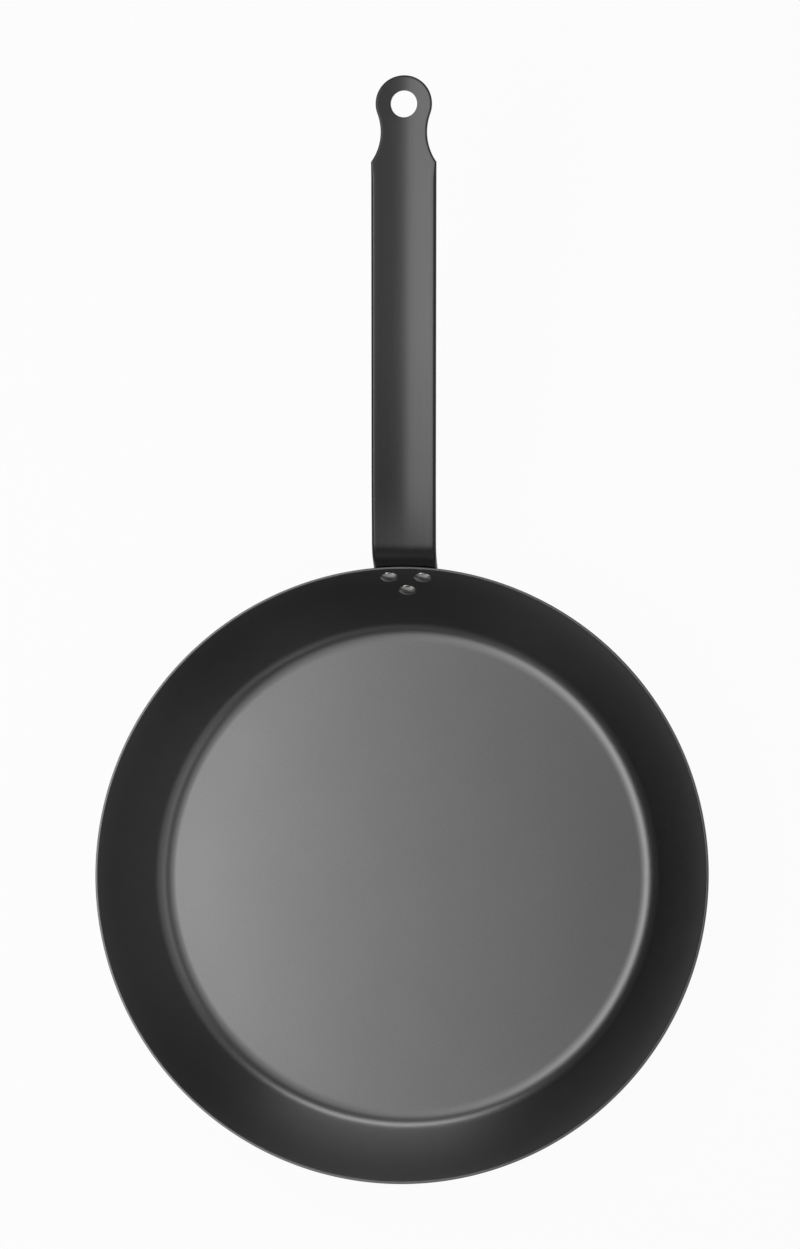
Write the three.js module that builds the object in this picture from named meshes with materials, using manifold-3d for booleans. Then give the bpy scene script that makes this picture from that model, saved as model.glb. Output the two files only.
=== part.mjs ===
// A carbon steel frying pan: a pressed pan, a pressed strip handle and the three rivets that join them.
//
// Millimetres, +Z up. The origin is the centre of the pan's flat underside.
// The handle points along +Y. The wall of the pan is a cone with a slight bow, so a place on it is told
// by its turn about Z and by its distance down the wall from the rim. The handle is told by its own
// length along its top face.

import * as THREE from 'three';
import { mergeVertices } from 'three/addons/utils/BufferGeometryUtils.js';
import Module from 'manifold-3d';

const { clamp, degToRad: degrees, lerp, smoothstep } = THREE.MathUtils;

// Pan, pressed from one round sheet
const RIM_DIAMETER = 300; // at the widest place of the rounded rim
const RIM_HEIGHT = 47.5; // from the underside to the rim, which is cut level
const SHEET = 1.2; // thickness of the sheet
const WALL_SLOPE = degrees(62); // of the wall at half its height, from level
const WALL_BOW = degrees(5); // the wall is this much flatter at the corner and steeper at the rim
const CORNER_RADIUS = 12; // inside radius between floor and wall
const RIM_ROUNDING = 0.4; // of both edges of the rim

// Handle, pressed from one flat strip
const STRIP_WIDTH = 31.6;
const STRIP_THICKNESS = 3;
const STRIP_ROUNDING = 1.2; // of the strip's long edges
const HANDLE_REACH = 229.6; // level distance from the rim to the handle's tip
const HANDLE_RISE = degrees(13.4); // of the straight part, from level
const RISE_ABOVE_RIM = 4.5; // length above the wall that goes on in the wall's last slope
const BEND_RADIUS = 13; // on the top face
const CREASE_FALL = degrees(11.5); // of each flank towards the middle crease
const CREASE_ROUNDING = 4.5; // half-width of the soft bottom of the crease
const CREASE_RUNOUT = 32; // length next to the bend over which the crease fades
const NECK_INSET = 4.6; // cut in from the strip's edge at the narrowest place
const NECK_RADIUS = 24.6;
const EYE_INSET = 2.2; // the round end is this much inside the strip's edge
const EYE_HOLE_DIAMETER = 12.8;

// Rivets
const HEAD_DIAMETER = 9.3; // inside the pan
const HEAD_HEIGHT = 1.4;
const TAIL_DIAMETER = 8.4; // set head, outside
const TAIL_HEIGHT = 2;
const SHANK_DIAMETER = 5;
const UPPER_DROP = 7.9; // from the rim down the wall to the upper pair
const ROW_SPACING = 12.1; // from the upper pair down the wall to the lower rivet
const PAIR_SPACING = 16.8; // between the two upper rivets
const NOSE_MARGIN = 5; // metal round the lower rivet's head at the strip's lower end

// Clearances
const SEAT_GAP = 0.3; // strip to wall
const HEAD_GAP = 0.3; // rivet heads to the metal under them
const SHANK_GAP = 0.3; // shank to hole, all round

// Facets
const PAN_SEGMENTS = 96;
const ARC_STEPS = 6;
const WALL_STEPS = 4;
const EDGE_STEPS = 3;
const RIVET_SEGMENTS = 24;
const HOLE_SEGMENTS = 36;
const COLUMNS = 12; // across the strip's face
const CREASE_CROWDING = 0.6; // 0 spreads the columns evenly, 1 gathers them at the crease
const TAPER_ROWS = 3;
const SEAT_ROWS = 3;
const BEND_ROWS = 6;
const RUNOUT_ROWS = 4;
const STRAIGHT_ROWS = 6;
const NECK_ROWS = 8;
const ROUND_ROWS = 9; // at the eye and at the lower nose
const LAST_ROW_ANGLE = degrees(83); // on a round end, where the last row lies

const SAME_POINT = 1e-4; // corners nearer than this are one

// Finishes
const PAN_STEEL = { color: 0x7b7b7c, roughness: 0.3, metalness: 1 };
const HANDLE_STEEL = { color: 0x595959, roughness: 0.4, metalness: 1 };
const RIVET_STEEL = { color: 0xc5c4c1, roughness: 0.25, metalness: 1 };

const wasm = await Module();
wasm.setup();

// Solids and cuts

function toSolid(geometry) {
  const bare = geometry.clone();
  bare.deleteAttribute('normal');
  bare.deleteAttribute('uv');
  const merged = mergeVertices(bare, SAME_POINT);
  const corners = merged.index.array;
  const triangles = [];
  for (let i = 0; i < corners.length; i += 3) {
    const [a, b, c] = corners.slice(i, i + 3);
    if (a !== b && b !== c && c !== a) triangles.push(a, b, c);
  }
  return new wasm.Manifold(new wasm.Mesh({
    numProp: 3,
    vertProperties: Float32Array.from(merged.attributes.position.array),
    triVerts: Uint32Array.from(triangles),
  }));
}

function toGeometry(solid) {
  const { vertProperties, triVerts } = solid.getMesh();
  const geometry = new THREE.BufferGeometry();
  geometry.setAttribute('position', new THREE.BufferAttribute(vertProperties, 3));
  geometry.setIndex(new THREE.BufferAttribute(triVerts, 1));
  geometry.computeVertexNormals();
  return geometry;
}

function cutAway(geometry, cutters) {
  const whole = toSolid(geometry);
  return toGeometry(cutters.reduce((left, cutter) => left.subtract(toSolid(cutter)), whole));
}

// A profile of (radius, height) points turned about Z
function turned(profile, segments) {
  return new THREE.LatheGeometry(profile, segments).rotateX(Math.PI / 2);
}

// A round bar along Z, from one height to another
function bar(diameter, from, to, segments) {
  const geometry = new THREE.CylinderGeometry(diameter / 2, diameter / 2, to - from, segments);
  return geometry.rotateX(Math.PI / 2).translate(0, 0, (from + to) / 2);
}

// Points on an arc of a plane curve, both ends included
function arc(centre, radius, from, to, steps) {
  return Array.from({ length: steps + 1 }, (_, i) => {
    const angle = lerp(from, to, i / steps);
    return new THREE.Vector2(centre.x + radius * Math.cos(angle), centre.y + radius * Math.sin(angle));
  });
}

// The wall, in the plane of (distance from the axis, height). Its outer face is an arc that touches the
// corner's arc at its lower end and the rounding of the rim at its upper end.

const QUARTER = Math.PI / 2;
const RIM_RADIUS = RIM_DIAMETER / 2;
const LOW_SLOPE = WALL_SLOPE - WALL_BOW;
const HIGH_SLOPE = WALL_SLOPE + WALL_BOW;
const OUTER_CORNER = CORNER_RADIUS + SHEET;
const CORNER_RISE = OUTER_CORNER * (1 - Math.cos(LOW_SLOPE));
const ROUNDING_RISE = RIM_ROUNDING * (1 + Math.cos(HIGH_SLOPE));
const BOW_SPAN = Math.cos(LOW_SLOPE) - Math.cos(HIGH_SLOPE); // rise of the bow for a radius of 1
const BOW_RADIUS = (RIM_HEIGHT - CORNER_RISE - ROUNDING_RISE) / BOW_SPAN;

// The direction square to a slope, out of the pan and down
function squareTo(slope) {
  return new THREE.Vector2(Math.sin(slope), -Math.cos(slope));
}

// Centres of the rim's outer rounding, of the bow and of the corner
const OUTER_EDGE = new THREE.Vector2(RIM_RADIUS - RIM_ROUNDING, RIM_HEIGHT - RIM_ROUNDING);
const BOW = OUTER_EDGE.clone().addScaledVector(squareTo(HIGH_SLOPE), RIM_ROUNDING - BOW_RADIUS);
const CORNER = BOW.clone().addScaledVector(squareTo(LOW_SLOPE), BOW_RADIUS - OUTER_CORNER);

// Slope of the wall at a place down from the rim. A place above the rim has the rim's slope.
function slopeAt(down) {
  return HIGH_SLOPE - Math.max(0, down) / BOW_RADIUS;
}

// A point on the outer face, down the wall from the rim and lifted off that face towards the inside
function onWall(down, lift) {
  const point = BOW.clone().addScaledVector(squareTo(slopeAt(down)), BOW_RADIUS - lift);
  const above = Math.max(0, -down);
  return point.add(new THREE.Vector2(Math.cos(HIGH_SLOPE), Math.sin(HIGH_SLOPE)).multiplyScalar(above));
}

// Pan

function panProfile() {
  const innerBow = BOW_RADIUS - SHEET;
  const innerSlope = Math.acos((BOW.y - OUTER_EDGE.y) / (innerBow + RIM_ROUNDING));
  const innerEdge = BOW.clone().addScaledVector(squareTo(innerSlope), innerBow + RIM_ROUNDING);
  return [
    new THREE.Vector2(0, 0),
    ...arc(CORNER, OUTER_CORNER, -QUARTER, LOW_SLOPE - QUARTER, ARC_STEPS),
    ...arc(BOW, BOW_RADIUS, LOW_SLOPE - QUARTER, HIGH_SLOPE - QUARTER, WALL_STEPS).slice(1),
    ...arc(OUTER_EDGE, RIM_ROUNDING, HIGH_SLOPE - QUARTER, QUARTER, EDGE_STEPS).slice(1),
    ...arc(innerEdge, RIM_ROUNDING, QUARTER, QUARTER + innerSlope, EDGE_STEPS),
    ...arc(BOW, innerBow, innerSlope - QUARTER, LOW_SLOPE - QUARTER, WALL_STEPS).slice(1),
    ...arc(CORNER, CORNER_RADIUS, LOW_SLOPE - QUARTER, -QUARTER, ARC_STEPS).slice(1),
    new THREE.Vector2(0, SHEET),
  ];
}

// Rivets, each on an axis square to the wall, with its local +Z pointing into the pan

const PAIR_RADIUS = onWall(UPPER_DROP, 0).x;
const PAIR_TURN = Math.asin(PAIR_SPACING / 2 / PAIR_RADIUS);
const RIVETS = [
  { name: 'rivet_upper_left', turn: -PAIR_TURN, down: UPPER_DROP },
  { name: 'rivet_upper_right', turn: PAIR_TURN, down: UPPER_DROP },
  { name: 'rivet_lower', turn: 0, down: UPPER_DROP + ROW_SPACING },
];

// The place of a rivet: its origin on the wall's outer face, turned about Z from +Y towards +X
function rivetPlace({ turn, down }) {
  const point = onWall(down, 0);
  const place = new THREE.Matrix4().makeRotationZ(-turn);
  place.multiply(new THREE.Matrix4().makeTranslation(0, point.x, point.y));
  return place.multiply(new THREE.Matrix4().makeRotationX(slopeAt(down)));
}

// A low dome as (radius, height) points, from its edge to its crown
function dome(diameter, height) {
  const half = diameter / 2;
  const radius = (half * half + height * height) / (2 * height);
  const spread = Math.asin(Math.min(1, half / radius));
  const centre = new THREE.Vector2(0, height - radius);
  const points = arc(centre, radius, Math.PI / 2 - spread, Math.PI / 2, ARC_STEPS);
  points.at(-1).x = 0;
  return points;
}

function rivetProfile() {
  const innerSeat = SHEET + HEAD_GAP;
  const outerSeat = -(SEAT_GAP + STRIP_THICKNESS + HEAD_GAP);
  const tail = dome(TAIL_DIAMETER, TAIL_HEIGHT).reverse();
  const head = dome(HEAD_DIAMETER, HEAD_HEIGHT);
  return [
    ...tail.map((p) => new THREE.Vector2(p.x, outerSeat - p.y)),
    new THREE.Vector2(SHANK_DIAMETER / 2, outerSeat),
    new THREE.Vector2(SHANK_DIAMETER / 2, innerSeat),
    ...head.map((p) => new THREE.Vector2(p.x, innerSeat + p.y)),
  ];
}

// Bars that cut the rivet holes, long enough to pass through both thicknesses
function rivetHoles() {
  const diameter = SHANK_DIAMETER + 2 * SHANK_GAP;
  const depth = SHEET + SEAT_GAP + STRIP_THICKNESS;
  return RIVETS.map((rivet) => {
    const hole = bar(diameter, -2 * depth, 2 * depth, RIVET_SEGMENTS);
    return hole.applyMatrix4(rivetPlace(rivet));
  });
}

// Handle. Length 0 is level with the rim, the lower nose has negative lengths and the tip the greatest.

const HALF_STRIP = STRIP_WIDTH / 2;
const BEND_START = RISE_ABOVE_RIM;
const BEND_ANGLE = HIGH_SLOPE - HANDLE_RISE;
const BEND_END = BEND_START + BEND_RADIUS * BEND_ANGLE;
const CREASE_START = BEND_END + CREASE_RUNOUT; // from here to the tip the crease is whole

// Middle of the top face at a length, and the slope of the strip there
function middle(length) {
  const start = onWall(-Math.min(length, BEND_START), -SEAT_GAP);
  const bent = clamp((length - BEND_START) / BEND_RADIUS, 0, BEND_ANGLE);
  const bendSlope = HIGH_SLOPE - bent;
  start.x += BEND_RADIUS * (Math.sin(HIGH_SLOPE) - Math.sin(bendSlope));
  start.y += BEND_RADIUS * (Math.cos(bendSlope) - Math.cos(HIGH_SLOPE));
  const straight = Math.max(0, length - BEND_END);
  start.x += straight * Math.cos(bendSlope);
  start.y += straight * Math.sin(bendSlope);
  return { point: start, slope: slopeAt(-length) - bent };
}

const STRAIGHT_LENGTH = (RIM_RADIUS + HANDLE_REACH - middle(BEND_END).point.x) / Math.cos(HANDLE_RISE);
const TIP = BEND_END + STRAIGHT_LENGTH;

// Outline of the flat strip: round eye, neck arcs that touch it, straight sides, nose at the lower rivet
const EYE_RADIUS = HALF_STRIP - EYE_INSET;
const EYE = TIP - EYE_RADIUS;
const HALF_WAIST = HALF_STRIP - NECK_INSET;
const NECK = EYE - Math.sqrt((EYE_RADIUS + NECK_RADIUS) ** 2 - (HALF_WAIST + NECK_RADIUS) ** 2);
const NECK_END = NECK + ((EYE - NECK) * NECK_RADIUS) / (EYE_RADIUS + NECK_RADIUS);
const SHOULDER = NECK - Math.sqrt(NECK_RADIUS ** 2 - (NECK_RADIUS - NECK_INSET) ** 2);
const TAPER_START = -UPPER_DROP;
const NOSE = -UPPER_DROP - ROW_SPACING;
const NOSE_RADIUS = HEAD_DIAMETER / 2 + NOSE_MARGIN;
const NOSE_SPAN = Math.hypot(HALF_STRIP, TAPER_START - NOSE);
const TAPER_ANGLE = Math.acos(NOSE_RADIUS / NOSE_SPAN) - Math.atan2(TAPER_START - NOSE, HALF_STRIP);

// Rows of the outline, from the nose to the tip, as pairs of length and half-width
function outlineRows() {
  const rows = [];
  const line = (fromLength, toLength, fromHalf, toHalf, count) => {
    for (let i = 1; i <= count; i += 1) {
      const share = i / count;
      rows.push([lerp(fromLength, toLength, share), lerp(fromHalf, toHalf, share)]);
    }
  };
  const nose = new THREE.Vector2(0, NOSE);
  for (const p of arc(nose, NOSE_RADIUS, -LAST_ROW_ANGLE, -TAPER_ANGLE, ROUND_ROWS)) {
    rows.push([p.y, p.x]);
  }
  const [taperLength, taperHalf] = rows.at(-1);
  line(taperLength, TAPER_START, taperHalf, HALF_STRIP, TAPER_ROWS);
  line(TAPER_START, BEND_START, HALF_STRIP, HALF_STRIP, SEAT_ROWS);
  line(BEND_START, BEND_END, HALF_STRIP, HALF_STRIP, BEND_ROWS);
  line(BEND_END, CREASE_START, HALF_STRIP, HALF_STRIP, RUNOUT_ROWS);
  line(CREASE_START, SHOULDER, HALF_STRIP, HALF_STRIP, STRAIGHT_ROWS);
  for (let i = 1; i <= NECK_ROWS; i += 1) {
    const length = lerp(SHOULDER, NECK_END, i / NECK_ROWS);
    rows.push([length, HALF_WAIST + NECK_RADIUS - Math.sqrt(NECK_RADIUS ** 2 - (length - NECK) ** 2)]);
  }
  const eyeStart = Math.asin((NECK_END - EYE) / EYE_RADIUS);
  const eye = new THREE.Vector2(0, EYE);
  for (const p of arc(eye, EYE_RADIUS, eyeStart, LAST_ROW_ANGLE, ROUND_ROWS).slice(1)) {
    rows.push([p.y, p.x]);
  }
  return rows;
}

// How far the top face stands above its middle at a place across the strip. Against the pan it lies on
// the wall's cone, and well past the bend it is the pressed crease.
function faceLift(across, length) {
  const onCone = (across * across * Math.sin(WALL_SLOPE)) / (2 * middle(length).point.x);
  const softened = Math.hypot(across, CREASE_ROUNDING) - CREASE_ROUNDING;
  const onCrease = softened * Math.tan(CREASE_FALL);
  return lerp(onCone, onCrease, smoothstep(length, BEND_START, CREASE_START));
}

// A place in the strip, across it, along it and below its top face, in the pan's frame
function formed(across, length, depth) {
  const { point, slope } = middle(length);
  const lift = faceLift(across, length) - depth;
  return new THREE.Vector3(across, point.x - lift * Math.sin(slope), point.y + lift * Math.cos(slope));
}

// One closed ring round the strip: top face, rounded right edge, bottom face, rounded left edge
function stripRing(length, half) {
  const flat = half - STRIP_ROUNDING;
  const face = Array.from({ length: COLUMNS + 1 }, (_, i) => {
    const place = -1 + (2 * i) / COLUMNS;
    return flat * place * (1 - CREASE_CROWDING + CREASE_CROWDING * Math.abs(place));
  });
  const upper = new THREE.Vector2(flat, -STRIP_ROUNDING);
  const lower = new THREE.Vector2(flat, STRIP_ROUNDING - STRIP_THICKNESS);
  const edge = [
    ...arc(upper, STRIP_ROUNDING, Math.PI / 2, 0, EDGE_STEPS).slice(1),
    ...arc(lower, STRIP_ROUNDING, 0, -Math.PI / 2, EDGE_STEPS).slice(0, -1),
  ];
  const otherEdge = edge.map((p) => new THREE.Vector2(-p.x, p.y)).reverse();
  const loop = [
    ...face.map((x) => new THREE.Vector2(x, 0)),
    ...edge,
    ...face.map((x) => new THREE.Vector2(x, -STRIP_THICKNESS)).reverse(),
    ...otherEdge,
  ];
  return loop.map((p) => formed(p.x, length, -p.y));
}

// A closed skin through rings of equal count, with a fan over each end
function skin(rings) {
  const count = rings[0].length;
  const points = rings.flat();
  const triangles = [];
  for (let ring = 0; ring + 1 < rings.length; ring += 1) {
    for (let i = 0; i < count; i += 1) {
      const a = ring * count + i;
      const b = ring * count + ((i + 1) % count);
      triangles.push(a, b, a + count, b, b + count, a + count);
    }
  }
  const last = (rings.length - 1) * count;
  for (const [start, isFirst] of [[0, true], [last, false]]) {
    const centre = points.length;
    const ring = points.slice(start, start + count);
    points.push(ring.reduce((sum, p) => sum.add(p), new THREE.Vector3()).divideScalar(count));
    for (let i = 0; i < count; i += 1) {
      const pair = [start + i, start + ((i + 1) % count)];
      if (isFirst) pair.reverse();
      triangles.push(centre, ...pair);
    }
  }
  const geometry = new THREE.BufferGeometry().setFromPoints(points);
  geometry.setIndex(triangles);
  return geometry;
}

// A bar that cuts the hanging hole square to the handle
function eyeHole() {
  const { point, slope } = middle(EYE);
  const hole = bar(EYE_HOLE_DIAMETER, -2 * STRIP_THICKNESS, 2 * STRIP_THICKNESS, HOLE_SEGMENTS);
  return hole.rotateX(slope).translate(0, point.x, point.y);
}

function handleGeometry() {
  const strip = skin(outlineRows().map(([length, half]) => stripRing(length, half)));
  return cutAway(strip, [eyeHole(), ...rivetHoles()]);
}

// Assembly

const fryingPan = new THREE.Group();
fryingPan.name = 'frying_pan';

const pressedPan = cutAway(turned(panProfile(), PAN_SEGMENTS), rivetHoles());
const panBody = new THREE.Mesh(pressedPan, new THREE.MeshStandardMaterial(PAN_STEEL));
panBody.name = 'pan_body';

const handle = new THREE.Mesh(handleGeometry(), new THREE.MeshStandardMaterial(HANDLE_STEEL));
handle.name = 'handle';

fryingPan.add(panBody, handle);

for (const rivet of RIVETS) {
  const solid = turned(rivetProfile(), RIVET_SEGMENTS);
  const mesh = new THREE.Mesh(solid, new THREE.MeshStandardMaterial(RIVET_STEEL));
  mesh.name = rivet.name;
  mesh.applyMatrix4(rivetPlace(rivet));
  fryingPan.add(mesh);
}

export default fryingPan;
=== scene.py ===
# %% [markdown]
# # A carbon steel frying pan
# The real pan is two pieces of dark sheet steel and three rivets. A round blank is pressed into the
# pan, a strip is creased and bent into the handle, and the rivets hold the strip to the wall. Plain
# solids of the five pieces already exist at their real size. This lesson gives each one a finer skin,
# worked out with numpy on a grid of points, and a steel of its own. Lengths are metres, +Z is up, and
# the handle points along +Y.

# %% Load the plain solids
import math

import bmesh
import bpy
import numpy as np
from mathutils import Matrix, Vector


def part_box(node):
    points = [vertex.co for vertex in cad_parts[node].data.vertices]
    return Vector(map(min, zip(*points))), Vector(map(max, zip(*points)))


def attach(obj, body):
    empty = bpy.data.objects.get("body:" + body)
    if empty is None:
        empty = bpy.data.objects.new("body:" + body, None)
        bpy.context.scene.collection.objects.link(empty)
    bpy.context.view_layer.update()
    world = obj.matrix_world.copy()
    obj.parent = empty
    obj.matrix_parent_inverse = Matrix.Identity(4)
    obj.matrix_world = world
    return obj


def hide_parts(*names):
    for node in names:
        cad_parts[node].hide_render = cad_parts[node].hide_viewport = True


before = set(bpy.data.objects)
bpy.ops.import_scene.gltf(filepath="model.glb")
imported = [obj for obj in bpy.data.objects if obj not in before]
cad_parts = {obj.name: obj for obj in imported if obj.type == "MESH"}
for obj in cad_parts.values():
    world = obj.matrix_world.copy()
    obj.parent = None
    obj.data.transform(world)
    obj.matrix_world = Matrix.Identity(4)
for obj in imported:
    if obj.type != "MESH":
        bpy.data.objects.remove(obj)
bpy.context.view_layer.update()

print("plain solids:", sorted(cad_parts))

# %% [markdown]
# ## From grids of points to a mesh
# Every skin below is a formula of two parameters, so its points come as a grid of rows and columns, and
# the faces are the quads between neighbours. They could be made one by one with bmesh calls, but a
# formula on whole arrays is shorter and shows the shape. A piece often needs several grids, such as a
# top, an underside and an edge. Where they meet they have the same points, so merging points that
# coincide closes every seam and pole. Each point also carries a tone, which the steels read later to
# make some places lighter or darker: mostly painted light and shade.

# %% Grids into a closed skin
MM = 0.001
WELD = 0.002 * MM


def grid_faces(rows, columns):
    """Corner numbers of the quads of a grid: a point, the next in its row, and the same two one row
    on."""
    number = np.arange(rows * columns).reshape(rows, columns)
    corners = [number[:-1, :-1], number[:-1, 1:], number[1:, 1:], number[1:, :-1]]
    return np.stack(corners, axis=-1).reshape(-1, 4)


def closed_skin(name, patches):
    """One smooth closed mesh from patches, each a grid of points (rows, columns, 3) with its grid of
    tones. Points closer than WELD become one, and all faces are then turned to point outwards."""
    points = np.concatenate([grid.reshape(-1, 3) for grid, tones in patches])
    all_tones = np.concatenate([tones.ravel() for grid, tones in patches])
    starts = np.cumsum([0] + [tones.size for grid, tones in patches])
    faces = [grid_faces(*tones.shape) + start for (grid, tones), start in zip(patches, starts)]
    mesh = bpy.data.meshes.new(name)
    mesh.from_pydata(points.tolist(), [], np.concatenate(faces).tolist())
    mesh.attributes.new("tone", "FLOAT", "POINT").data.foreach_set("value", all_tones)
    shell = bmesh.new()
    shell.from_mesh(mesh)
    bmesh.ops.remove_doubles(shell, verts=shell.verts, dist=WELD)
    bmesh.ops.recalc_face_normals(shell, faces=shell.faces)
    open_edges = sum(not edge.is_manifold for edge in shell.edges)
    volume = shell.calc_volume() * 1e6
    print(f"{name}: {len(shell.faces)} faces, {open_edges} open edges, {volume:.2f} cm3 of steel")
    shell.to_mesh(mesh)
    shell.free()
    mesh.shade_smooth()
    piece = bpy.data.objects.new(name, mesh)
    bpy.context.scene.collection.objects.link(piece)
    return piece


# %% [markdown]
# ## The pan
# A press draws the pan from one round sheet: a flat floor, a rounded corner and a flared wall that gets
# a little steeper towards the rim, all of one thickness. The rim is then trimmed level and its two
# edges are just broken. A potter's lathe would make the same shape, so the profile from the middle of
# the underside to the rim and back is turned about Z. The sizes of the rim are read from the plain
# solid, and the wall's slope, its bow and the corner's radius are written as they were worked out for
# it.

# %% Sizes of the pan
SHEET = 1.2 * MM
WALL_SLOPE = math.radians(62)
WALL_BOW = math.radians(5)
CORNER_RADIUS = 12 * MM
RIM_ROUNDING = 0.4 * MM

pan_low, pan_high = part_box("pan_body")
low_slope = WALL_SLOPE - WALL_BOW
high_slope = WALL_SLOPE + WALL_BOW
outer_corner = CORNER_RADIUS + SHEET
print("rim, radius and height in mm:", round(pan_high.x / MM, 2), round(pan_high.z / MM, 2))


def square_to(slope):
    """The direction square to a slope, out of the pan and down: (sin slope, -cos slope)."""
    return np.array([math.sin(slope), -math.cos(slope)])


# %% The bow of the wall
corner_rise = outer_corner * (1 - math.cos(low_slope))
rounding_rise = RIM_ROUNDING * (1 + math.cos(high_slope))
bow_radius = (pan_high.z - corner_rise - rounding_rise) / (math.cos(low_slope) - math.cos(high_slope))
outer_middle = np.array([pan_high.x - RIM_ROUNDING, pan_high.z - RIM_ROUNDING])
bow_middle = outer_middle - (bow_radius - RIM_ROUNDING) * square_to(high_slope)
corner_middle = bow_middle + (bow_radius - outer_corner) * square_to(low_slope)
inner_bow = bow_radius - SHEET
inner_slope = math.acos((bow_middle[1] - outer_middle[1]) / (inner_bow + RIM_ROUNDING))
inner_middle = bow_middle + (inner_bow + RIM_ROUNDING) * square_to(inner_slope)
print(f"floor {2 * corner_middle[0] / MM:.1f} mm across, wall bowed on a radius of {bow_radius / MM:.0f} mm")


def wall_slope(down):
    """Slope of the wall at a place down from the rim: the slope at the rim less down / radius of the
    bow."""
    return high_slope - down / bow_radius


def on_wall(down):
    """A place on the wall's outer face, as (distance from the axis, height), down the wall from the
    rim."""
    return bow_middle + bow_radius * square_to(wall_slope(down))


# %% Profile of the pan
def arc(centre, radius, start, end, steps):
    """Points centre + radius (cos angle, sin angle), with the angle going evenly from start to end."""
    angle = np.linspace(start, end, steps + 1)
    return np.column_stack([centre[0] + radius * np.cos(angle), centre[1] + radius * np.sin(angle)])


def line(start, end, steps):
    """Points that go evenly from start to end."""
    share = np.linspace(0, 1, steps + 1)[:, None]
    return np.asarray(start) + (np.asarray(end) - np.asarray(start)) * share


def chain(*runs):
    """Runs of points joined end to end, with each shared end kept once."""
    return np.concatenate([run[:-1] for run in runs[:-1]] + [runs[-1]])


quarter = math.pi / 2


def pan_profile():
    """(distance from the axis, height) from the middle of the underside, out along the floor, round the
    corner, up the wall, over the rim and back inside to the middle of the floor. All but the level runs
    are arcs that touch."""
    outer = arc(corner_middle, outer_corner, -quarter, low_slope - quarter, 20)
    outer_wall = arc(bow_middle, bow_radius, low_slope - quarter, high_slope - quarter, 16)
    outer_edge = arc(outer_middle, RIM_ROUNDING, high_slope - quarter, quarter, 8)
    inner_edge = arc(inner_middle, RIM_ROUNDING, quarter, quarter + inner_slope, 6)
    inner_wall = arc(bow_middle, inner_bow, inner_slope - quarter, low_slope - quarter, 16)
    inner = arc(corner_middle, CORNER_RADIUS, low_slope - quarter, -quarter, 20)
    return chain(
        line([0, 0], outer[0], 10), outer, outer_wall, outer_edge,
        line(outer_edge[-1], inner_edge[0], 2), inner_edge, inner_wall, inner,
        line(inner[-1], [0, SHEET], 10),
    )


pan_line = pan_profile()
print("profile of", len(pan_line), "points, widest at", round(pan_line[:, 0].max() / MM, 2), "mm")

# %% The pan's skin
TURN_STEPS = 288
CUT_TONE = 0.85
CUT_DEPTH = 0.25 * MM
# Painted sheen: the wall is made paler over the last LIP_DEPTH below the rim.
LIP_PAINTED_SHEEN = 1.28
LIP_DEPTH = 18 * MM


def turned(profile, steps):
    """A profile turned about Z: the point at a turn is (distance sin turn, distance cos turn,
    height)."""
    turn = np.linspace(0, 2 * math.pi, steps + 1)
    distance, height = profile[:, :1], profile[:, 1:]
    return np.stack([distance * np.sin(turn), distance * np.cos(turn), height + 0 * turn], axis=-1)


def rim_tone(profile):
    """1 on the sheet, rising to the lip's painted sheen with the square of the nearness to the rim over the
    last LIP_DEPTH, then going evenly to CUT_TONE over the last CUT_DEPTH below the level cut."""
    down = pan_high.z - profile[:, 1]
    lip = 1 + (LIP_PAINTED_SHEEN - 1) * np.clip(1 - down / LIP_DEPTH, 0, 1) ** 2
    return lip + (CUT_TONE - lip) * np.clip(1 - down / CUT_DEPTH, 0, 1)


pan_points = turned(pan_line, TURN_STEPS)
pan_tones = np.repeat(rim_tone(pan_line)[:, None], TURN_STEPS + 1, axis=1)
pan = closed_skin("pressed_pan", [(pan_points, pan_tones)])
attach(pan, "root")
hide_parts("pan_body")

# %% [markdown]
# ## The handle's way
# The handle is one flat strip. Its foot lies against the wall, it rises a little above the rim, bends
# outwards and runs straight to a round eye. It could be bent with a curve modifier, but a formula keeps
# its length exact: the middle of its top face is a line up the slope, an arc and a second line. Across
# the strip the press also made a soft crease, so both flanks fall gently towards the middle, while the
# foot takes the round of the wall.

# %% Middle line of the handle
HANDLE_RISE = math.radians(13.4)
RISE_ABOVE_RIM = 4.5 * MM
BEND_RADIUS = 13 * MM
HANDLE_REACH = 229.6 * MM
SEAT_GAP = 0.3 * MM

bend_angle = high_slope - HANDLE_RISE
bend_end = RISE_ABOVE_RIM + BEND_RADIUS * bend_angle
seat_bow = bow_radius + SEAT_GAP


def middle_line(along):
    """Middle of the top face at a length along it, counted from the rim: a place on the bow of the
    wall, plus the straight rise above it, plus the bend's radius times the change of sine and cosine of
    the slope, plus the straight run at the last slope. Gives the distance from the pan's axis, the
    height and the slope."""
    foot_slope = wall_slope(np.maximum(-along, 0))
    bent = np.clip((along - RISE_ABOVE_RIM) / BEND_RADIUS, 0, bend_angle)
    bend_slope = high_slope - bent
    rising = np.clip(along, 0, RISE_ABOVE_RIM)
    straight = np.maximum(along - bend_end, 0)
    out = bow_middle[0] + seat_bow * np.sin(foot_slope) + rising * math.cos(high_slope)
    out = out + BEND_RADIUS * (math.sin(high_slope) - np.sin(bend_slope)) + straight * np.cos(bend_slope)
    height = bow_middle[1] - seat_bow * np.cos(foot_slope) + rising * math.sin(high_slope)
    height = height + BEND_RADIUS * (np.cos(bend_slope) - math.cos(high_slope))
    height = height + straight * np.sin(bend_slope)
    return out, height, foot_slope - bent


tip = bend_end + (pan_high.x + HANDLE_REACH - middle_line(bend_end)[0]) / math.cos(HANDLE_RISE)
print("strip's length above the rim:", round(tip / MM, 1), "mm")

# %% The crease and the forming
CREASE_FALL = math.radians(11.5)
CREASE_ROUNDING = 4.5 * MM
CREASE_RUNOUT = 32 * MM

crease_start = bend_end + CREASE_RUNOUT


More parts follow.
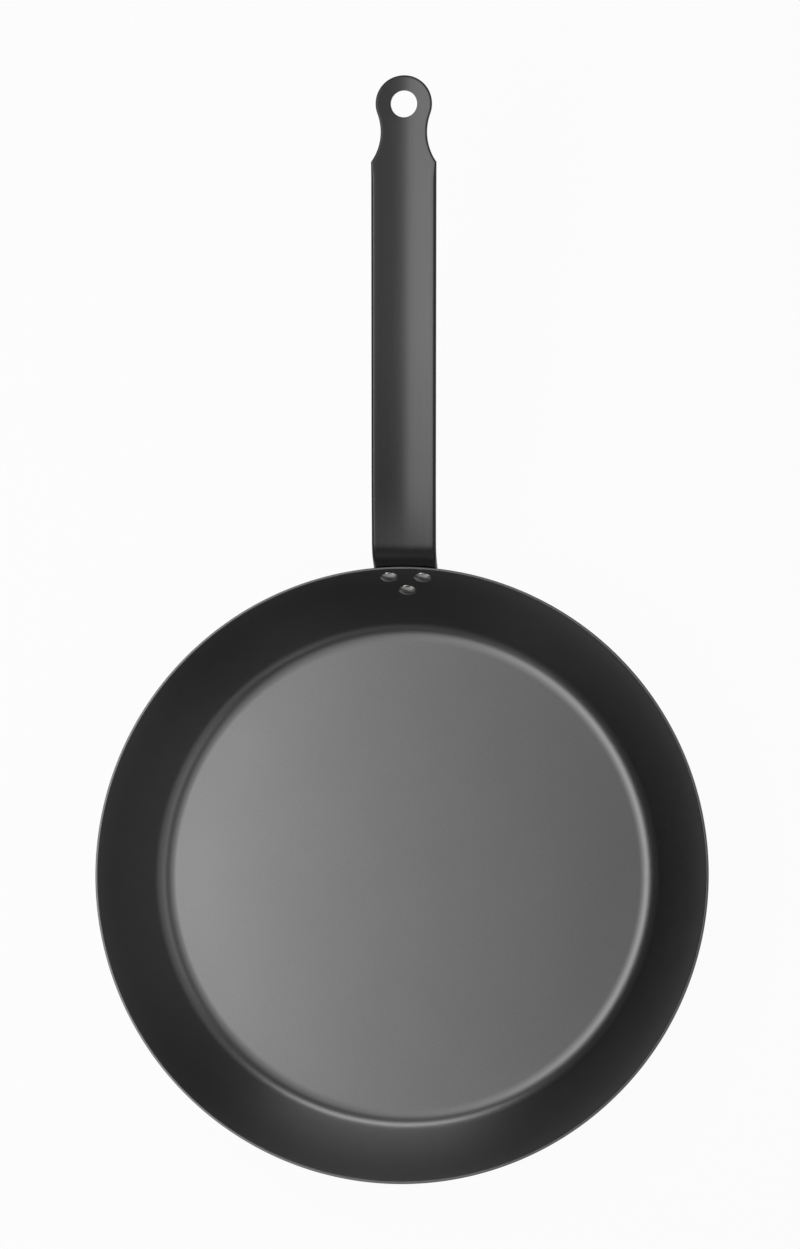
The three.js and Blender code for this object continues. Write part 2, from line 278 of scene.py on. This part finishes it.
def eased(value, start, end):
    """0 before start, 1 after end, and 3 share^2 - 2 share^3 between them."""
    share = np.clip((value - start) / (end - start), 0, 1)
    return share * share * (3 - 2 * share)


def formed(across, along, depth):
    """A place in the flat strip, across it, along it and below its top face, taken to the bent and
    creased one. The face lifts off its middle line by tan(fall) (sqrt(across^2 + rounding^2) -
    rounding) past the bend, and by the sagitta of the wall's round, across^2 sin(slope) / (2 distance),
    at the foot."""
    out, height, slope = middle_line(along)
    on_cone = across ** 2 * math.sin(WALL_SLOPE) / (2 * out)
    on_crease = (np.hypot(across, CREASE_ROUNDING) - CREASE_ROUNDING) * math.tan(CREASE_FALL)
    lift = on_cone + (on_crease - on_cone) * eased(along, RISE_ABOVE_RIM, crease_start) - depth
    return np.stack([across + 0 * lift, out - lift * np.sin(slope), height + lift * np.cos(slope)], axis=-1)


# %% [markdown]
# ## The handle's blank
# Before it is bent, the strip is cut to an outline: a nose round the lower rivet, a short taper, long
# straight sides, a neck of two hollow arcs and the round eye. All of it is lines and arcs, so the
# outline moved inwards by an inset has the same lines and the same centres, only with other radii. That
# gives the rounded edge: a stack of outlines that move in as they come nearer to a face. The press
# rounded the long edges most, on top, where a hand holds them.

# %% Outline of the blank
STRIP_THICKNESS = 3 * MM
NECK_INSET = 4.6 * MM
NECK_RADIUS = 24.6 * MM
EYE_INSET = 2.2 * MM
UPPER_DROP = 7.9 * MM
ROW_SPACING = 12.1 * MM
NOSE_RADIUS = 9.65 * MM

handle_low, handle_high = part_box("handle")
half_strip = (handle_high.x - handle_low.x) / 2
eye_radius = half_strip - EYE_INSET
eye = tip - eye_radius
neck_middle = half_strip - NECK_INSET + NECK_RADIUS
neck = eye - math.sqrt((eye_radius + NECK_RADIUS) ** 2 - neck_middle ** 2)
neck_turn = math.atan2(eye - neck, neck_middle)
nose = -UPPER_DROP - ROW_SPACING
taper_turn = math.acos(NOSE_RADIUS / math.hypot(half_strip, ROW_SPACING))
taper_turn -= math.atan2(ROW_SPACING, half_strip)
print(f"blank: {2 * half_strip / MM:.1f} mm wide, neck at {neck / MM:.1f} mm, eye at {eye / MM:.1f} mm")


def right_side(inset):
    """Right edge of the strip as (across, along), from the nose's end to the narrowest place of the
    neck. Every radius is drawn in by the inset, or let out where the arc is hollow, and the lines meet
    where both are inset."""
    side = half_strip - inset
    hollow = NECK_RADIUS + inset
    shoulder_turn = math.acos((neck_middle - side) / hollow)
    taper_end = nose + (side * math.cos(taper_turn) - (NOSE_RADIUS - inset)) / math.sin(taper_turn)
    nose_arc = arc([0, nose], NOSE_RADIUS - inset, -math.pi / 2, -taper_turn, 14)
    neck_arc = arc([neck_middle, neck], hollow, math.pi + shoulder_turn, math.pi, 14)
    stops = [[side, taper_end], [side, RISE_ABOVE_RIM], [side, bend_end], [side, crease_start]]
    return chain(
        nose_arc, line(nose_arc[-1], stops[0], 4), line(stops[0], stops[1], 6), line(stops[1], stops[2], 20),
        line(stops[2], stops[3], 12), line(stops[3], neck_arc[0], 40), neck_arc,
    )


def eye_side(inset):
    """The rest of the edge as (across, along), from the right of the neck, round the eye and back to
    the left of the neck."""
    hollow = NECK_RADIUS + inset
    rising = arc([neck_middle, neck], hollow, math.pi, math.pi - neck_turn, 8)
    ring = arc([0, eye], eye_radius - inset, -neck_turn, math.pi + neck_turn, 48)
    return chain(rising, ring, rising[::-1] * [-1, 1])


# %% Faces of the handle
LONG_ROUNDING = 1.8 * MM
END_ROUNDING = 0.95 * MM
UNDER_ROUNDING = 0.8 * MM
SHOULDER_RUN = 8 * MM
HOLE_RADIUS = 6.4 * MM
HOLE_ROUNDING = 0.2 * MM
CREASE_CROWDING = 0.5
# Painted light at the foot of the strip, and painted shade half round its bend, fading out past it.
FOOT_PAINTED_LIGHT = 1.3
BEND_PAINTED_SHADE = 0.69
BEND_SHADE_REACH = 100 * MM

across_share = np.linspace(-1, 1, 33)
across_share = across_share * (1 - CREASE_CROWDING + CREASE_CROWDING * np.abs(across_share))
shoulder = neck - math.sqrt(NECK_RADIUS ** 2 - (NECK_RADIUS - NECK_INSET) ** 2)


def top_rounding(along):
    """Rounding of the top edge: LONG_ROUNDING along the sides, easing to END_ROUNDING at the
    shoulder."""
    return LONG_ROUNDING + (END_ROUNDING - LONG_ROUNDING) * eased(along, shoulder - SHOULDER_RUN, shoulder)


def drawn_in(outline, inset):
    """An outline whose points are each drawn in by an inset of their own: the place without inset, plus
    the inset times the way that a point goes per millimetre of it."""
    sharp = outline(0)
    return sharp + (outline(MM) - sharp) / MM * inset[..., None]


def painted_face_shading(along):
    """Painted light and shade on the strip's faces, which goes evenly from the foot's painted light to the
    painted shade half round the bend, and to 1 at the reach of that shade past the bend."""
    stops = [RISE_ABOVE_RIM, (RISE_ABOVE_RIM + bend_end) / 2, bend_end + BEND_SHADE_REACH]
    return np.interp(along, stops, [FOOT_PAINTED_LIGHT, BEND_PAINTED_SHADE, 1])


def face_grids(rounding, depth):
    """The strip's face and the face round the hanging hole, inside a rounding and at a depth. The strip
    is half-width times share across, row by row. Round the hole, each point of the neck's row and of
    the eye's edge is joined to the hole's edge by a straight spoke, and a grid is a share along the
    spoke."""
    edge = drawn_in(right_side, rounding(right_side(0)[:, 1]))
    across = edge[:, :1] * across_share
    strip = formed(across, edge[:, 1:] + 0 * across, depth)
    neck_row = np.column_stack([edge[-1, 0] * across_share, edge[-1, 1] + 0 * across_share])
    border = chain(drawn_in(eye_side, rounding(eye_side(0)[:, 1])), neck_row)
    spokes = border - [0, eye]
    reach = np.hypot(spokes[:, 0], spokes[:, 1])[:, None]
    hole_edge = [0, eye] + spokes / reach * (HOLE_RADIUS + HOLE_ROUNDING)
    share = np.linspace(0, 1, 11)[:, None, None]
    ring = hole_edge + (border - hole_edge) * share
    strip_tones = painted_face_shading(edge[:, 1:]) + 0 * across
    eye_face = formed(ring[..., 0], ring[..., 1], depth)
    return [(strip, strip_tones), (eye_face, painted_face_shading(ring[..., 1]))], spokes / reach


def under_rounding(along):
    """The same rounding all along the underside."""
    return UNDER_ROUNDING + 0 * along


top_faces, top_spokes = face_grids(top_rounding, 0)
under_faces, under_spokes = face_grids(under_rounding, STRIP_THICKNESS)
print("top face of", sum(tones.size for grid, tones in top_faces), "points")

# %% Edges of the handle
# Painted shade on the sides of the strip and of its hanging hole.
SIDE_PAINTED_SHADE = 0.45
SIDE_START = math.radians(10)
SIDE_END = math.radians(45)


def edge_stack(top_line, under_line, steps):
    """A rounded edge from the top face to the underside, as a stack of outlines. Each line takes angles
    from 0 at its face to a quarter turn at the side, and gives an outline and its depth there. The tone
    eases from that of the faces to a painted shade on the side."""
    angle = np.linspace(0, math.pi / 2, steps + 1)[:, None]
    top, top_depth = top_line(angle)
    under, under_depth = under_line(angle)
    outline = np.concatenate([top, under[::-1]])
    depth = np.concatenate([top_depth, under_depth[::-1]])
    share = eased(angle, SIDE_START, SIDE_END)
    faces = painted_face_shading(outline[..., 1])
    tones = faces + (SIDE_PAINTED_SHADE - faces) * np.concatenate([share, share[::-1]])
    return formed(outline[..., 0], outline[..., 1], depth), tones


def rounded(outline, rounding, face_depth, way):
    """A line for edge_stack: at an angle the inset is rounding (1 - sin angle), and the way in from the
    face is rounding (1 - cos angle)."""
    def at(angle):
        inset = rounding * (1 - np.sin(angle))
        return drawn_in(outline, inset), face_depth + way * rounding * (1 - np.cos(angle))
    return at


def whole_outline(inset):
    """The closed outline: up the right side, round the eye and down the left side."""
    right = right_side(inset)
    return chain(right, eye_side(inset), right[::-1] * [-1, 1])


def hole_outline(spokes):
    """The hanging hole's outline along its spokes. An inset into the steel widens it."""
    return lambda inset: [0, eye] + spokes * (HOLE_RADIUS + inset)


lengths = whole_outline(0)[:, 1]
outer_edge = edge_stack(
    rounded(whole_outline, top_rounding(lengths), 0, 1),
    rounded(whole_outline, under_rounding(lengths), STRIP_THICKNESS, -1), 8,
)
hole_rounding = np.full(len(top_spokes), HOLE_ROUNDING)
hole_wall = edge_stack(
    rounded(hole_outline(top_spokes), hole_rounding, 0, 1),
    rounded(hole_outline(under_spokes), hole_rounding, STRIP_THICKNESS, -1), 4,
)
handle = closed_skin("strip_handle", top_faces + under_faces + [outer_edge, hole_wall])
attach(handle, "root")
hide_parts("handle")

# %% [markdown]
# ## The rivets
# Each rivet is a round steel pin with a domed head inside the pan and a second head set outside. It
# sits square to the wall, so its profile is turned about its own axis first and then carried to the
# wall: leaned back by the wall's slope, moved out to the wall, and turned about the pan.

# %% Profile of a rivet
HEAD_DIAMETER = 9.3 * MM
HEAD_HEIGHT = 1.4 * MM
TAIL_DIAMETER = 8.4 * MM
TAIL_HEIGHT = 2 * MM
SHANK_DIAMETER = 5 * MM
HEAD_GAP = 0.12 * MM


def dome(diameter, height, steps):
    """A low dome from its edge to its crown: the cap of a ball whose radius is (half-width^2 +
    height^2) / (2 height), over the angle whose sine is half-width / radius."""
    radius = (diameter ** 2 / 4 + height ** 2) / (2 * height)
    spread = math.asin(diameter / 2 / radius)
    cap = arc([0, height - radius], radius, math.pi / 2 - spread, math.pi / 2, steps)
    cap[-1, 0] = 0
    return cap


def rivet_profile():
    """(distance from the rivet's axis, height into the pan) from the crown of the outer head to that of
    the inner one. Height 0 is the wall's outer face."""
    inner_seat = SHEET + HEAD_GAP
    outer_seat = -(SEAT_GAP + STRIP_THICKNESS + HEAD_GAP)
    tail = dome(TAIL_DIAMETER, TAIL_HEIGHT, 12)[::-1] * [1, -1] + [0, outer_seat]
    head = dome(HEAD_DIAMETER, HEAD_HEIGHT, 14) + [0, inner_seat]
    shank = line([SHANK_DIAMETER / 2, outer_seat], [SHANK_DIAMETER / 2, inner_seat], 4)
    return np.concatenate([tail, shank, head])


# %% Rivets in their places
PAIR_SPACING = 16.8 * MM

pair_turn = math.asin(PAIR_SPACING / 2 / on_wall(UPPER_DROP)[0])
rivet_places = {
    "rivet_upper_left": (-pair_turn, UPPER_DROP),
    "rivet_upper_right": (pair_turn, UPPER_DROP),
    "rivet_lower": (0, UPPER_DROP + ROW_SPACING),
}


def set_in_wall(points, turn, down):
    """Points of a rivet standing on Z, leaned back by the wall's slope about X, moved to the wall, and
    turned about the pan from +Y towards +X."""
    out, height = on_wall(down)
    lean = wall_slope(down)
    x = points[..., 0]
    y = out + points[..., 1] * math.cos(lean) - points[..., 2] * math.sin(lean)
    z = height + points[..., 1] * math.sin(lean) + points[..., 2] * math.cos(lean)
    right = x * math.cos(turn) + y * math.sin(turn)
    away = y * math.cos(turn) - x * math.sin(turn)
    return np.stack([right, away, z], axis=-1)


rivet_points = turned(rivet_profile(), 64)
rivets = []
for name, (turn, down) in rivet_places.items():
    placed = set_in_wall(rivet_points, turn, down)
    rivet = closed_skin("domed_" + name, [(placed, np.ones(placed.shape[:2]))])
    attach(rivet, "root")
    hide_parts(name)
    rivets.append(rivet)

# %% [markdown]
# ## The steels
# Rolled carbon steel is grey and satin: it mirrors the light softly and has almost no colour of its
# own. A metal in the Principled shader does that, with a dark base, a middling roughness, and a fine
# grain that shifts both a little. The grain comes from noise in Object coordinates, so it has a true
# size in metres. The tones that the meshes carry make the pan's cut edge darker and paint light and
# shade: a painted sheen makes the pan's lip paler, painted light brightens the strip's foot, and painted
# shade darkens the sheared sides of the strip and of its hanging hole, and its end by the bend.

# %% A helper for node trees
def new_steel(name):
    """A material with its Principled shader and an Object coordinate to build on."""
    material = bpy.data.materials.new(name)
    material.use_nodes = True
    tree = material.node_tree
    place = tree.nodes.new("ShaderNodeTexCoord").outputs["Object"]
    return material, tree, tree.nodes["Principled BSDF"], place


def noise(tree, place, size, detail, stretch=(1, 1, 1)):
    """Noise whose patches are about size across, drawn out along an axis where stretch is more than
    1."""
    turn = tree.nodes.new("ShaderNodeMapping")
    turn.inputs["Scale"].default_value = [1 / (size * times) for times in stretch]
    tree.links.new(place, turn.inputs["Vector"])
    patches = tree.nodes.new("ShaderNodeTexNoise")
    patches.inputs["Scale"].default_value = 1
    patches.inputs["Detail"].default_value = detail
    tree.links.new(turn.outputs["Vector"], patches.inputs["Vector"])
    return patches.outputs["Fac"]


def spread(tree, value, low, high, low_in=0.3, high_in=0.7):
    """Takes the middle range of a noise to the range from low to high."""
    node = tree.nodes.new("ShaderNodeMapRange")
    node.inputs["From Min"].default_value = low_in
    node.inputs["From Max"].default_value = high_in
    node.inputs["To Min"].default_value = low
    node.inputs["To Max"].default_value = high
    tree.links.new(value, node.inputs["Value"])
    return node.outputs["Result"]


def times(tree, first, second):
    """The product of two values."""
    node = tree.nodes.new("ShaderNodeMath")
    node.operation = "MULTIPLY"
    tree.links.new(first, node.inputs[0])
    tree.links.new(second, node.inputs[1])
    return node.outputs["Value"]


def grey_tone(tree, amount, tone):
    """A tone, as red, green and blue, made lighter or darker by an amount."""
    node = tree.nodes.new("ShaderNodeVectorMath")
    node.operation = "SCALE"
    node.inputs[0].default_value = tone
    tree.links.new(amount, node.inputs["Scale"])
    return node.outputs["Vector"]


def tone_of(tree):
    """The tone that the mesh carries, with its painted light and shade."""
    node = tree.nodes.new("ShaderNodeAttribute")
    node.attribute_name = "tone"
    return node.outputs["Fac"]


def fine_relief(tree, shader, height, distance):
    """A slight relief of the surface from a height."""
    node = tree.nodes.new("ShaderNodeBump")
    node.inputs["Strength"].default_value = 1
    node.inputs["Distance"].default_value = distance
    tree.links.new(height, node.inputs["Height"])
    tree.links.new(node.outputs["Normal"], shader.inputs["Normal"])


# %% Steel of the pan
PAN_COLOUR = (0.2, 0.2, 0.202)


def pan_steel():
    """Satin sheet: a faint broad mottle and a fine grain in tone and roughness."""
    material, tree, shader, place = new_steel("pan_steel_finish")
    mottle = spread(tree, noise(tree, place, 40 * MM, 3), 0.985, 1.015)
    grain = noise(tree, place, 0.7 * MM, 4)
    amount = times(tree, times(tree, mottle, spread(tree, grain, 0.95, 1.05)), tone_of(tree))
    tree.links.new(grey_tone(tree, amount, PAN_COLOUR), shader.inputs["Base Color"])
    tree.links.new(spread(tree, grain, 0.33, 0.38), shader.inputs["Roughness"])
    shader.inputs["Metallic"].default_value = 1
    fine_relief(tree, shader, grain, 0.003 * MM)
    return material


pan.data.materials.append(pan_steel())
print("pan:", pan.data.materials[0].name)

# %% Steel of the handle
HANDLE_COLOUR = (0.104, 0.104, 0.105)


def handle_steel():
    """Darker strip with faint rolling lines along it and a fine grain."""
    material, tree, shader, place = new_steel("handle_steel_finish")
    lines = spread(tree, noise(tree, place, 0.8 * MM, 3, (1, 60, 60)), 0.97, 1.03)
    grain = noise(tree, place, 0.6 * MM, 4)
    amount = times(tree, times(tree, lines, spread(tree, grain, 0.94, 1.06)), tone_of(tree))
    tree.links.new(grey_tone(tree, amount, HANDLE_COLOUR), shader.inputs["Base Color"])
    tree.links.new(spread(tree, grain, 0.34, 0.4), shader.inputs["Roughness"])
    shader.inputs["Metallic"].default_value = 1
    fine_relief(tree, shader, grain, 0.003 * MM)
    return material


handle.data.materials.append(handle_steel())
print("handle:", handle.data.materials[0].name)

# %% Steel of the rivets
RIVET_COLOUR = (0.74, 0.73, 0.71)


def rivet_steel():
    """Bright steel with the small dents of setting and a fine grain."""
    material, tree, shader, place = new_steel("rivet_steel_finish")
    dents = noise(tree, place, 2.5 * MM, 2)
    grain = noise(tree, place, 0.3 * MM, 3)
    amount = times(tree, spread(tree, dents, 0.9, 1.05), spread(tree, grain, 0.95, 1.05))
    tree.links.new(grey_tone(tree, amount, RIVET_COLOUR), shader.inputs["Base Color"])
    tree.links.new(spread(tree, grain, 0.12, 0.18), shader.inputs["Roughness"])
    shader.inputs["Metallic"].default_value = 1
    fine_relief(tree, shader, dents, 0.02 * MM)
    return material


bright_steel = rivet_steel()
for rivet in rivets:
    rivet.data.materials.append(bright_steel)
print("rivets:", bright_steel.name)

# %% [markdown]
# ## The floor
# The pan stands on a wide white sweep. A white surface in soft light is still a little grey, so the
# floor is mixed with a plain white glow that only the camera and mirror-like bounces see. What is left
# of the floor's own shading keeps the pan's shadow.

# %% White floor
FLOOR_HALF = 30.0
FLOOR_DROP = 0.2 * MM
FLOOR_GLOW = 0.95


def floor_material():
    """Matt white, mixed with a white glow by FLOOR_GLOW for camera, glossy and transmission rays."""
    material = bpy.data.materials.new("white_sweep")
    material.use_nodes = True
    tree = material.node_tree
    tree.nodes.clear()
    matt = tree.nodes.new("ShaderNodeBsdfDiffuse")
    matt.inputs["Color"].default_value = (0.9, 0.9, 0.9, 1)
    glow = tree.nodes.new("ShaderNodeEmission")
    ray = tree.nodes.new("ShaderNodeLightPath")
    seen = tree.nodes.new("ShaderNodeMath")
    seen.operation = "MAXIMUM"
    tree.links.new(ray.outputs["Is Camera Ray"], seen.inputs[0])
    tree.links.new(ray.outputs["Is Glossy Ray"], seen.inputs[1])
    through = tree.nodes.new("ShaderNodeMath")
    through.operation = "MAXIMUM"
    tree.links.new(seen.outputs["Value"], through.inputs[0])
    tree.links.new(ray.outputs["Is Transmission Ray"], through.inputs[1])
    amount = tree.nodes.new("ShaderNodeMath")
    amount.operation = "MULTIPLY"
    amount.inputs[1].default_value = FLOOR_GLOW
    tree.links.new(through.outputs["Value"], amount.inputs[0])
    mix = tree.nodes.new("ShaderNodeMixShader")
    tree.links.new(amount.outputs["Value"], mix.inputs["Fac"])
    tree.links.new(matt.outputs["BSDF"], mix.inputs[1])
    tree.links.new(glow.outputs["Emission"], mix.inputs[2])
    out = tree.nodes.new("ShaderNodeOutputMaterial")
    tree.links.new(mix.outputs["Shader"], out.inputs["Surface"])
    return material


corner = np.array([[-1, -1], [1, -1], [1, 1], [-1, 1]]) * FLOOR_HALF
floor_mesh = bpy.data.meshes.new("floor")
floor_mesh.from_pydata(np.column_stack([corner, np.full(4, -FLOOR_DROP)]).tolist(), [], [[0, 1, 2, 3]])
floor_mesh.materials.append(floor_material())
floor = bpy.data.objects.new("floor", floor_mesh)
bpy.context.scene.collection.objects.link(floor)
print("floor:", 2 * FLOOR_HALF, "m square")

# %% [markdown]
# ## The light
# Satin steel shows the lamps and little else. A wide soft roof hangs over the pan. It is bright on the
# left and fades out to the right and to the front, which shades the pan's floor from pale to dark. A
# strip glows low behind the handle: it draws the bright line in the near corner and lights the wall
# there. A weak panel on the right does the same for the left side. Two small lamps in front put a glint
# on the rivets. The room is dark overhead and a dim grey at the horizon, palest on the right.

# %% Soft panels
def soft_panel(name, middle, target, width, height, radiance):
    """An area lamp at a place that faces a target. Its power is radiance times pi times its area."""
    lamp = bpy.data.lights.new(name, "AREA")
    lamp.shape = "RECTANGLE"
    lamp.size = width
    lamp.size_y = height
    lamp.energy = radiance * math.pi * width * height
    panel = bpy.data.objects.new(name, lamp)
    panel.location = middle
    away = panel.location - type(panel.location)(target)
    panel.rotation_euler = away.to_track_quat("Z", "Y").to_euler()
    panel.visible_camera = False
    bpy.context.scene.collection.objects.link(panel)
    return panel


def around(azimuth, elevation, distance=1.6):
    """A place at a distance from the origin, from its azimuth about Z and its elevation in degrees."""
    turn, rise = math.radians(azimuth), math.radians(elevation)
    flat = distance * math.cos(rise)
    return (flat * math.cos(turn), flat * math.sin(turn), distance * math.sin(rise))


soft_panel("right_panel", around(0, 42.5), (0, 0, 0), 1.9, 0.62, 0.76)
soft_panel("low_strip", around(90, 17.5), (0, 0, 0), 1.3, 0.4, 3.7)
soft_panel("left_glint", around(238, 26), (0, 0, 0), 0.16, 0.08, 4)
soft_panel("right_glint", around(295, 28), (0, 0, 0), 0.16, 0.08, 4)

# %% The roof of light
ROOF_PLACE = (-0.165, -0.175, 0.8)
ROOF_WIDTH = 0.89
ROOF_LENGTH = 1.35
LEFT_GLOW = 2.2
LEFT_FADE = (-0.42, -0.07)
MIDDLE_GLOW = 0.69
MIDDLE_FADE = (0.11, 0.31)
FRONT_FADE = (-0.85, -0.35)

roof = soft_panel("roof_panel", ROOF_PLACE, (ROOF_PLACE[0], ROOF_PLACE[1], 0), ROOF_WIDTH, ROOF_LENGTH, 1)
roof.data.use_nodes = True
lining = roof.data.node_tree


def faded(axis, fade, low, high):
    """A level on the roof that eases from low to high along an axis, from the first place of fade to
    the second."""
    place = lining.nodes.new("ShaderNodeSeparateXYZ")
    lining.links.new(lining.nodes.new("ShaderNodeNewGeometry").outputs["Position"], place.inputs["Vector"])
    node = lining.nodes.new("ShaderNodeMapRange")
    node.interpolation_type = "SMOOTHSTEP"
    node.inputs["From Min"].default_value = fade[0]
    node.inputs["From Max"].default_value = fade[1]
    node.inputs["To Min"].default_value = low
    node.inputs["To Max"].default_value = high
    lining.links.new(place.outputs[axis], node.inputs["Value"])
    return node.outputs["Result"]


both = lining.nodes.new("ShaderNodeMath")
lining.links.new(faded("X", LEFT_FADE, LEFT_GLOW, 0), both.inputs[0])
lining.links.new(faded("X", MIDDLE_FADE, MIDDLE_GLOW, 0), both.inputs[1])
roof_level = times(lining, both.outputs["Value"], faded("Y", FRONT_FADE, 0, 1))
lining.links.new(roof_level, lining.nodes["Emission"].inputs["Strength"])
print("roof of light:", ROOF_WIDTH, "by", ROOF_LENGTH, "m")

# %% The room
ROOM_HORIZON = 0.25
ROOM_SIDE = 0.21
ROOM_BACK = -0.07
ROOM_FADE = (0.32, 0.54)

world = bpy.data.worlds.new("room")
world.use_nodes = True
bpy.context.scene.world = world
room = world.node_tree
view_way = room.nodes.new("ShaderNodeTexCoord").outputs["Generated"]
parts = room.nodes.new("ShaderNodeSeparateXYZ")
room.links.new(view_way, parts.inputs["Vector"])
fade = room.nodes.new("ShaderNodeMapRange")
fade.interpolation_type = "SMOOTHSTEP"
fade.inputs["From Min"].default_value = ROOM_FADE[0]
fade.inputs["From Max"].default_value = ROOM_FADE[1]
fade.inputs["To Min"].default_value = 1
fade.inputs["To Max"].default_value = 0
room.links.new(parts.outputs["Z"], fade.inputs["Value"])


def tilted(way, amount):
    """A multiply-add node that takes amount times a way, and leaves its third socket for what is
    added."""
    node = room.nodes.new("ShaderNodeMath")
    node.operation = "MULTIPLY_ADD"
    node.inputs[1].default_value = amount
    room.links.new(parts.outputs[way], node.inputs[0])
    return node


level = tilted("Y", ROOM_BACK)
sideways = tilted("X", ROOM_SIDE)
sideways.inputs[2].default_value = ROOM_HORIZON
room.links.new(sideways.outputs["Value"], level.inputs[2])
sky = room.nodes["Background"]
sky.inputs["Color"].default_value = (1, 1, 1, 1)
room.links.new(times(room, fade.outputs["Result"], level.outputs["Value"]), sky.inputs["Strength"])
print("room: horizon", ROOM_HORIZON, "and", ROOM_SIDE, "more on the right")

# %% [markdown]
# ## The camera
# The pan is seen from almost straight above, from a little to the right of its middle, with the handle
# pointing up in the picture. The camera's place and its small tilts were worked out so that the rim,
# the handle's edges and the hanging hole fall where they should.

# %% Camera above the pan
CAMERA_PLACE = (105.4 * MM, -32.8 * MM, pan_high.z + 1354.4 * MM)
CAMERA_TIP = math.radians(6.484)
CAMERA_LEAN = math.radians(4.504)
CAMERA_ROLL = math.radians(0.553)
CAMERA_LENS = 80.04

lens = bpy.data.cameras.new("camera")
lens.lens = CAMERA_LENS
camera = bpy.data.objects.new("camera", lens)
camera.location = CAMERA_PLACE
camera.rotation_mode = "ZYX"
camera.rotation_euler = (CAMERA_TIP, CAMERA_LEAN, CAMERA_ROLL)
bpy.context.scene.collection.objects.link(camera)
bpy.context.scene.camera = camera
bpy.context.scene.view_settings.view_transform = "Standard"
print("camera at", np.round(CAMERA_PLACE, 3), "with a", CAMERA_LENS, "mm lens")
